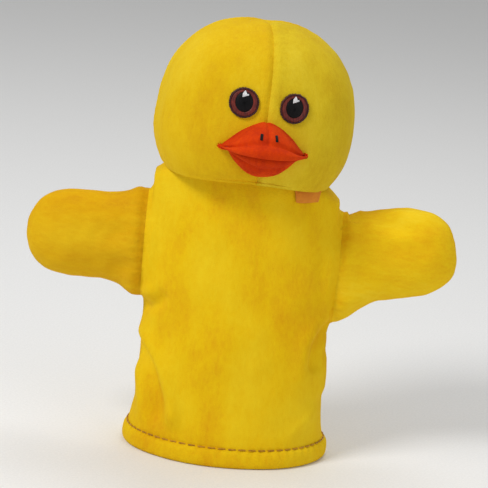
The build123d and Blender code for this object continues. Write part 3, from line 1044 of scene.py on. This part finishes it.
def thread(name, dark, light, gloss=0.45, scale=900.0, specular=0.3):
    """Embroidery thread: fine strands that catch the light along their length."""
    material, tree, shader, where = start_material(name)
    strands = noise_of(tree, where, scale, 3.0, 0.6, (1, 1, 0.25))
    blotch = noise_of(tree, where, scale * 0.2, 2.0, 0.5)
    tone = blend_sum(tree, [(strands, 0.65), (blotch, 0.35)])
    tree.links.new(ramp(tree, tone, [(0.38, dark), (0.62, light)]), shader.inputs["Base Color"])
    shader.inputs["Roughness"].default_value = gloss
    shader.inputs["Sheen Weight"].default_value = 0.1
    shader.inputs["Specular IOR Level"].default_value = specular
    bump(tree, shader, strands, 0.25 * MM, 0.6)
    return material


def woven(name, dark, light, pitch=0.55, gloss=0.85):
    """Plain cotton weave: two crossing sets of yarns, with slubs."""
    material, tree, shader, where = start_material(name)
    scale = 2 * math.pi / (pitch * MM) / 20
    bands = []
    for direction in ("X", "Z"):
        wave = tree.nodes.new("ShaderNodeTexWave")
        wave.bands_direction = direction
        wave.inputs["Scale"].default_value = scale
        wave.inputs["Distortion"].default_value = 0.6
        wave.inputs["Detail"].default_value = 1.0
        tree.links.new(where, wave.inputs["Vector"])
        bands.append(wave.outputs["Fac"])
    slubs = noise_of(tree, where, 420.0, 3.0, 0.6)
    weave = blend_sum(tree, [(bands[0], 0.5), (bands[1], 0.5)])
    tone = blend_sum(tree, [(weave, 0.5), (slubs, 0.5)])
    tree.links.new(ramp(tree, tone, [(0.25, dark), (0.75, light)]), shader.inputs["Base Color"])
    shader.inputs["Roughness"].default_value = gloss
    shader.inputs["Sheen Weight"].default_value = 0.12
    bump(tree, shader, weave, 0.2 * MM, 0.5)
    return material


def fibre(name, dark, light):
    """Loose polyester filling: tangled soft fibres."""
    material, tree, shader, where = start_material(name)
    tangle = noise_of(tree, where, 260.0, 6.0, 0.7, distortion=2.5)
    tree.links.new(ramp(tree, tangle, [(0.35, dark), (0.65, light)]), shader.inputs["Base Color"])
    shader.inputs["Roughness"].default_value = 0.95
    shader.inputs["Sheen Weight"].default_value = 0.4
    bump(tree, shader, tangle, 1.2 * MM, 0.8)
    return material


def board(name, dark, light):
    """Stiffening sheet: matt pressed board with fine flecks."""
    material, tree, shader, where = start_material(name)
    flecks = noise_of(tree, where, 700.0, 4.0, 0.7)
    tree.links.new(ramp(tree, flecks, [(0.4, dark), (0.65, light)]), shader.inputs["Base Color"])
    shader.inputs["Roughness"].default_value = 0.8
    bump(tree, shader, flecks, 0.1 * MM, 0.4)
    return material


# deep, middle and pale tone of each plush, as display colours
PLUSH_TONES = {
    "body": ((216, 158, 4), (227, 185, 10), (232, 198, 28)),
    # both arms are the same plush: the puppet's right arm (the viewer's left) is painted deeper and more
    # orange as painted shade, the left arm paler as painted light
    "left_arm": ((224, 166, 6), (233, 192, 18), (238, 206, 44)),
    "right_arm": ((200, 138, 3), (213, 162, 8), (222, 180, 22)),
    # the head's front panels are one plush: the puppet's right panel is painted deeper gold as painted
    # shade, its left panel paler and greener as painted light
    "head_front_right": ((206, 158, 6), (217, 177, 14), (224, 190, 34)),
    "head_front_left": ((198, 160, 16), (212, 182, 30), (221, 195, 48)),
    "head_back": ((204, 158, 12), (216, 179, 24), (222, 192, 42)),
    "beak": ((184, 42, 1), (208, 58, 2), (222, 76, 5)),
}
PLUSH_NAMES = {
    "head_front_right": "head_plush_painted_shade",
    "head_front_left": "head_plush_painted_light",
    "head_back": "head_plush_back",
}
ALONG_ARM = (0.4, 1, 1)
PLUSH_NAP = {"left_arm": {"nap": ALONG_ARM}, "right_arm": {"nap": ALONG_ARM}}
PLUSH_NAP["beak"] = {"sheen": 0.08, "grain": 1900.0, "patches": 80.0}


def make_materials():
    made = {}
    for part, tones in PLUSH_TONES.items():
        name = PLUSH_NAMES.get(part, f"{part}_plush")
        made[part] = plush(name, *(srgb(*tone) for tone in tones), **PLUSH_NAP.get(part, {}))
    return made | {
        "thread": thread("hem_thread", srgb(150, 98, 4), srgb(196, 138, 14)),
        "outline": thread("eye_outline_thread", srgb(28, 4, 8), srgb(70, 12, 16), 0.55, 1200.0),
        "iris": thread("eye_iris_thread", srgb(72, 16, 12), srgb(122, 40, 28), 0.5, 1200.0),
        "pupil": thread("eye_pupil_thread", srgb(2, 2, 3), srgb(13, 12, 15), 0.5, 1200.0, 0.12),
        "glint": thread("eye_glint_thread", srgb(190, 190, 192), srgb(240, 240, 240), 0.5, 1400.0),
        "nostril": thread("nostril_thread", srgb(6, 3, 3), srgb(22, 10, 8), 0.6, 900.0, 0.12),
        # the neck tab: orange on yellow fabric, painted shade under the head
        "tape": woven("neck_tape", srgb(196, 104, 6), srgb(226, 146, 18), 0.6),
        "binding": woven("binding_tape", srgb(198, 150, 40), srgb(232, 190, 80), 0.8),
        "lining": woven("lining_cloth", srgb(205, 178, 108), srgb(236, 214, 150), 0.5),
        "cloth": woven("mouth_cloth", srgb(150, 34, 12), srgb(196, 62, 26), 0.45),
        "filling": fibre("fibre_filling", srgb(196, 196, 192), srgb(244, 244, 240)),
        "board": board("mouth_board", srgb(120, 98, 70), srgb(166, 142, 108)),
        "floor": board("studio_floor", srgb(233, 233, 232), srgb(240, 240, 239)),
    }


CARRIED_OVER = {
    "neck_binding": "binding",
    "head_neck_tape": "binding",
    "head_stuffing": "filling",
    "finger_pocket": "lining",
}


def dress_cad_nodes():
    for name, material in CARRIED_OVER.items():
        for slot in bpy.data.objects[name].material_slots:
            slot.material = MATERIALS[material]


# --------------------------------------------------------- floor, light, view
LIT_SPOT = Vector((0, 0, 0.12))
CAMERA_RISE = math.radians(14)
CAMERA_ROLL = math.radians(5.5)
CAMERA_AWAY = 1.2
CAMERA_LENS = 155
CAMERA_TARGET = Vector((0.001, 0.0, 0.1213))


def floor():
    columns = 96
    turn = np.linspace(0, 2 * math.pi, columns, endpoint=False)
    rings = []
    for radius in (0.002, 4.0):
        rings.append(np.stack([radius * np.cos(turn), radius * np.sin(turn), 0 * turn], axis=1))
    disc = new_object("studio_floor", np.array(rings).reshape(-1, 3), rings_to_faces(2, columns)[::-1])
    disc.data.materials.append(MATERIALS["floor"])


def area_light(name, place, size, power):
    data = bpy.data.lights.new(name, "AREA")
    data.shape = "DISK"
    data.size = size
    data.energy = power
    light = bpy.data.objects.new(name, data)
    light.location = place
    light.rotation_euler = (Vector(place) - LIT_SPOT).to_track_quat("Z", "Y").to_euler()
    bpy.context.scene.collection.objects.link(light)


def lights():
    area_light("key_light", (-0.85, -0.75, 1.25), 0.55, 14.2)
    area_light("fill_light", (1.1, -1.0, 0.6), 1.1, 3.6)
    area_light("top_light", (0.25, 0.5, 1.5), 0.9, 6.0)
    world = bpy.data.worlds.new("studio")
    world.use_nodes = True
    world.node_tree.nodes["Background"].inputs["Color"].default_value = (1, 1, 1, 1)
    world.node_tree.nodes["Background"].inputs["Strength"].default_value = 0.42
    bpy.context.scene.world = world


def camera():
    data = bpy.data.cameras.new("camera")
    data.lens = CAMERA_LENS
    data.sensor_width = 36
    data.clip_end = 10
    view = bpy.data.objects.new("camera", data)
    away = Vector((0, -math.cos(CAMERA_RISE), math.sin(CAMERA_RISE)))
    view.location = CAMERA_TARGET + CAMERA_AWAY * away
    facing = away.to_track_quat("Z", "Y").to_matrix().to_4x4()
    view.rotation_euler = (facing @ Matrix.Rotation(CAMERA_ROLL, 4, "Z")).to_euler()
    bpy.context.scene.collection.objects.link(view)
    bpy.context.scene.camera = view
    bpy.context.scene.view_settings.view_transform = "Standard"


# --------------------------------------------------------------------- making
MATERIALS = make_materials()
camera()
lights()
floor()
place_sleeve(sleeve_and_arms())
hem()
hem_seam()
head_pieces()
beak()
eyes()
neck_tab()
dress_cad_nodes()
